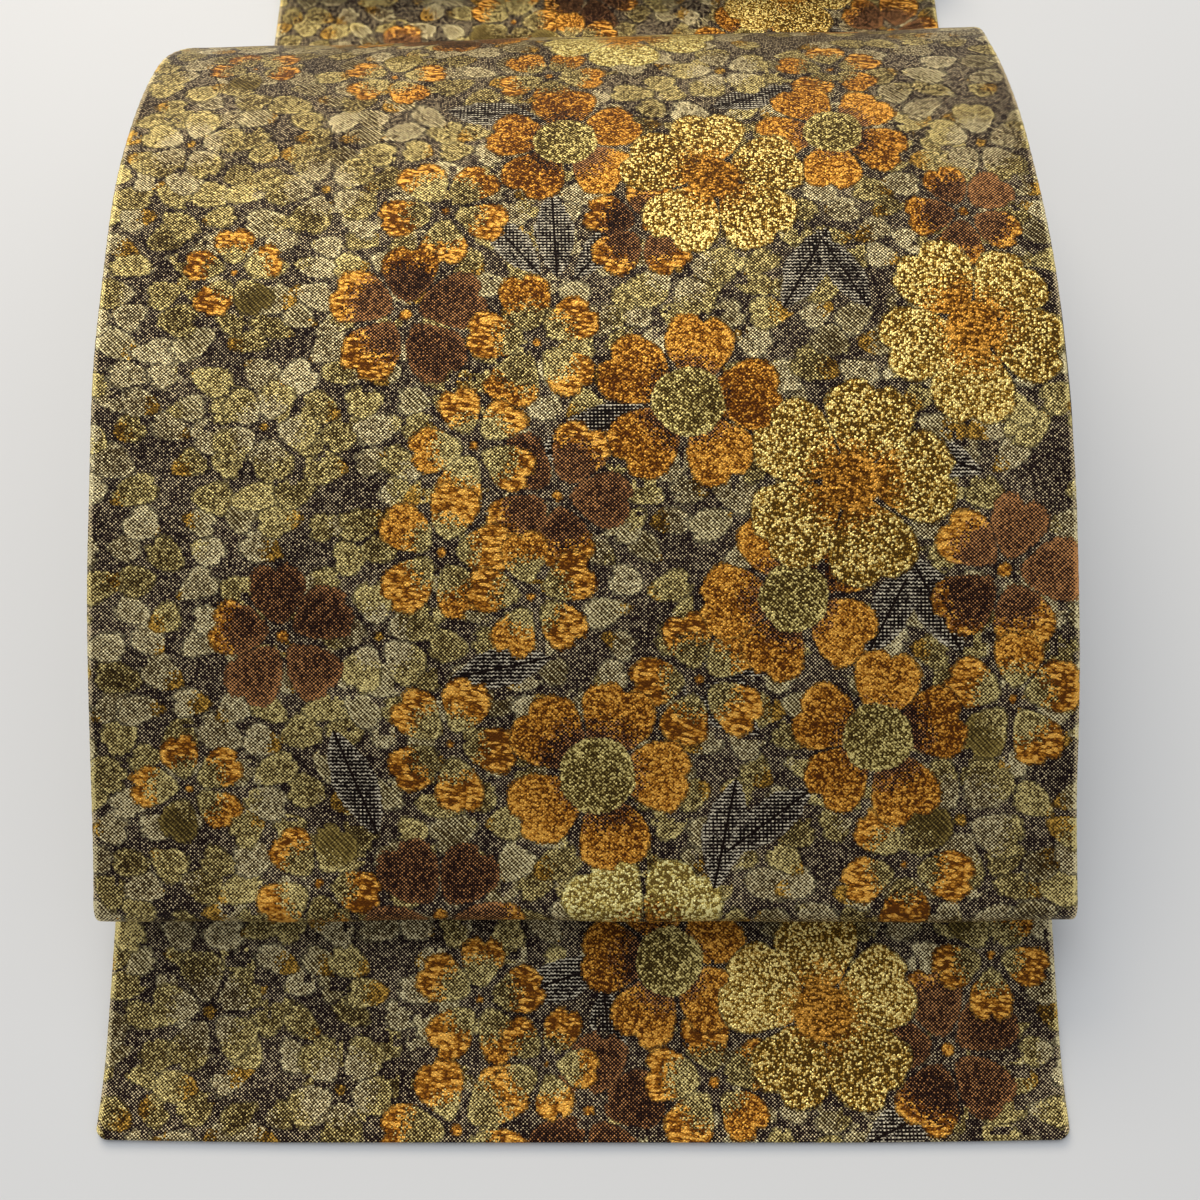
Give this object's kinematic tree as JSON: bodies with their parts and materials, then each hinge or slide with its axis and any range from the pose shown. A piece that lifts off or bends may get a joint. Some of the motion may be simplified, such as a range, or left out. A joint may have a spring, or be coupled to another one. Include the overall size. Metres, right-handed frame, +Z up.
{
  "type": "obi sash",
  "caption": "Brocade kimono sash with cherry blossom, laid on a table and folded as a hollow drum with its hanging end below and the spare length folded flat behind.",
  "frame": {"origin": "middle of the whole sash at table level", "axes": "+Y from the hanging end towards the folded length behind, +X across the cloth to the right, +Z up"},
  "size_m": [0.322, 0.8824, 0.1006],
  "materials": {
    "brocade": "silk brocade with flat gold thread, blossoms on a speckled dark ground",
    "lining": "plain near-black silk, faint rib, soft sheen"
  },
  "bodies": {
    "root": {"tare_front": "brocade", "tare_lining": "lining", "return_front": "brocade", "return_lining": "lining", "drum_front": "brocade", "drum_lining": "lining", "strip_front": "brocade", "strip_lining": "lining", "folded_length": "brocade"}
  },
  "joints": []
}
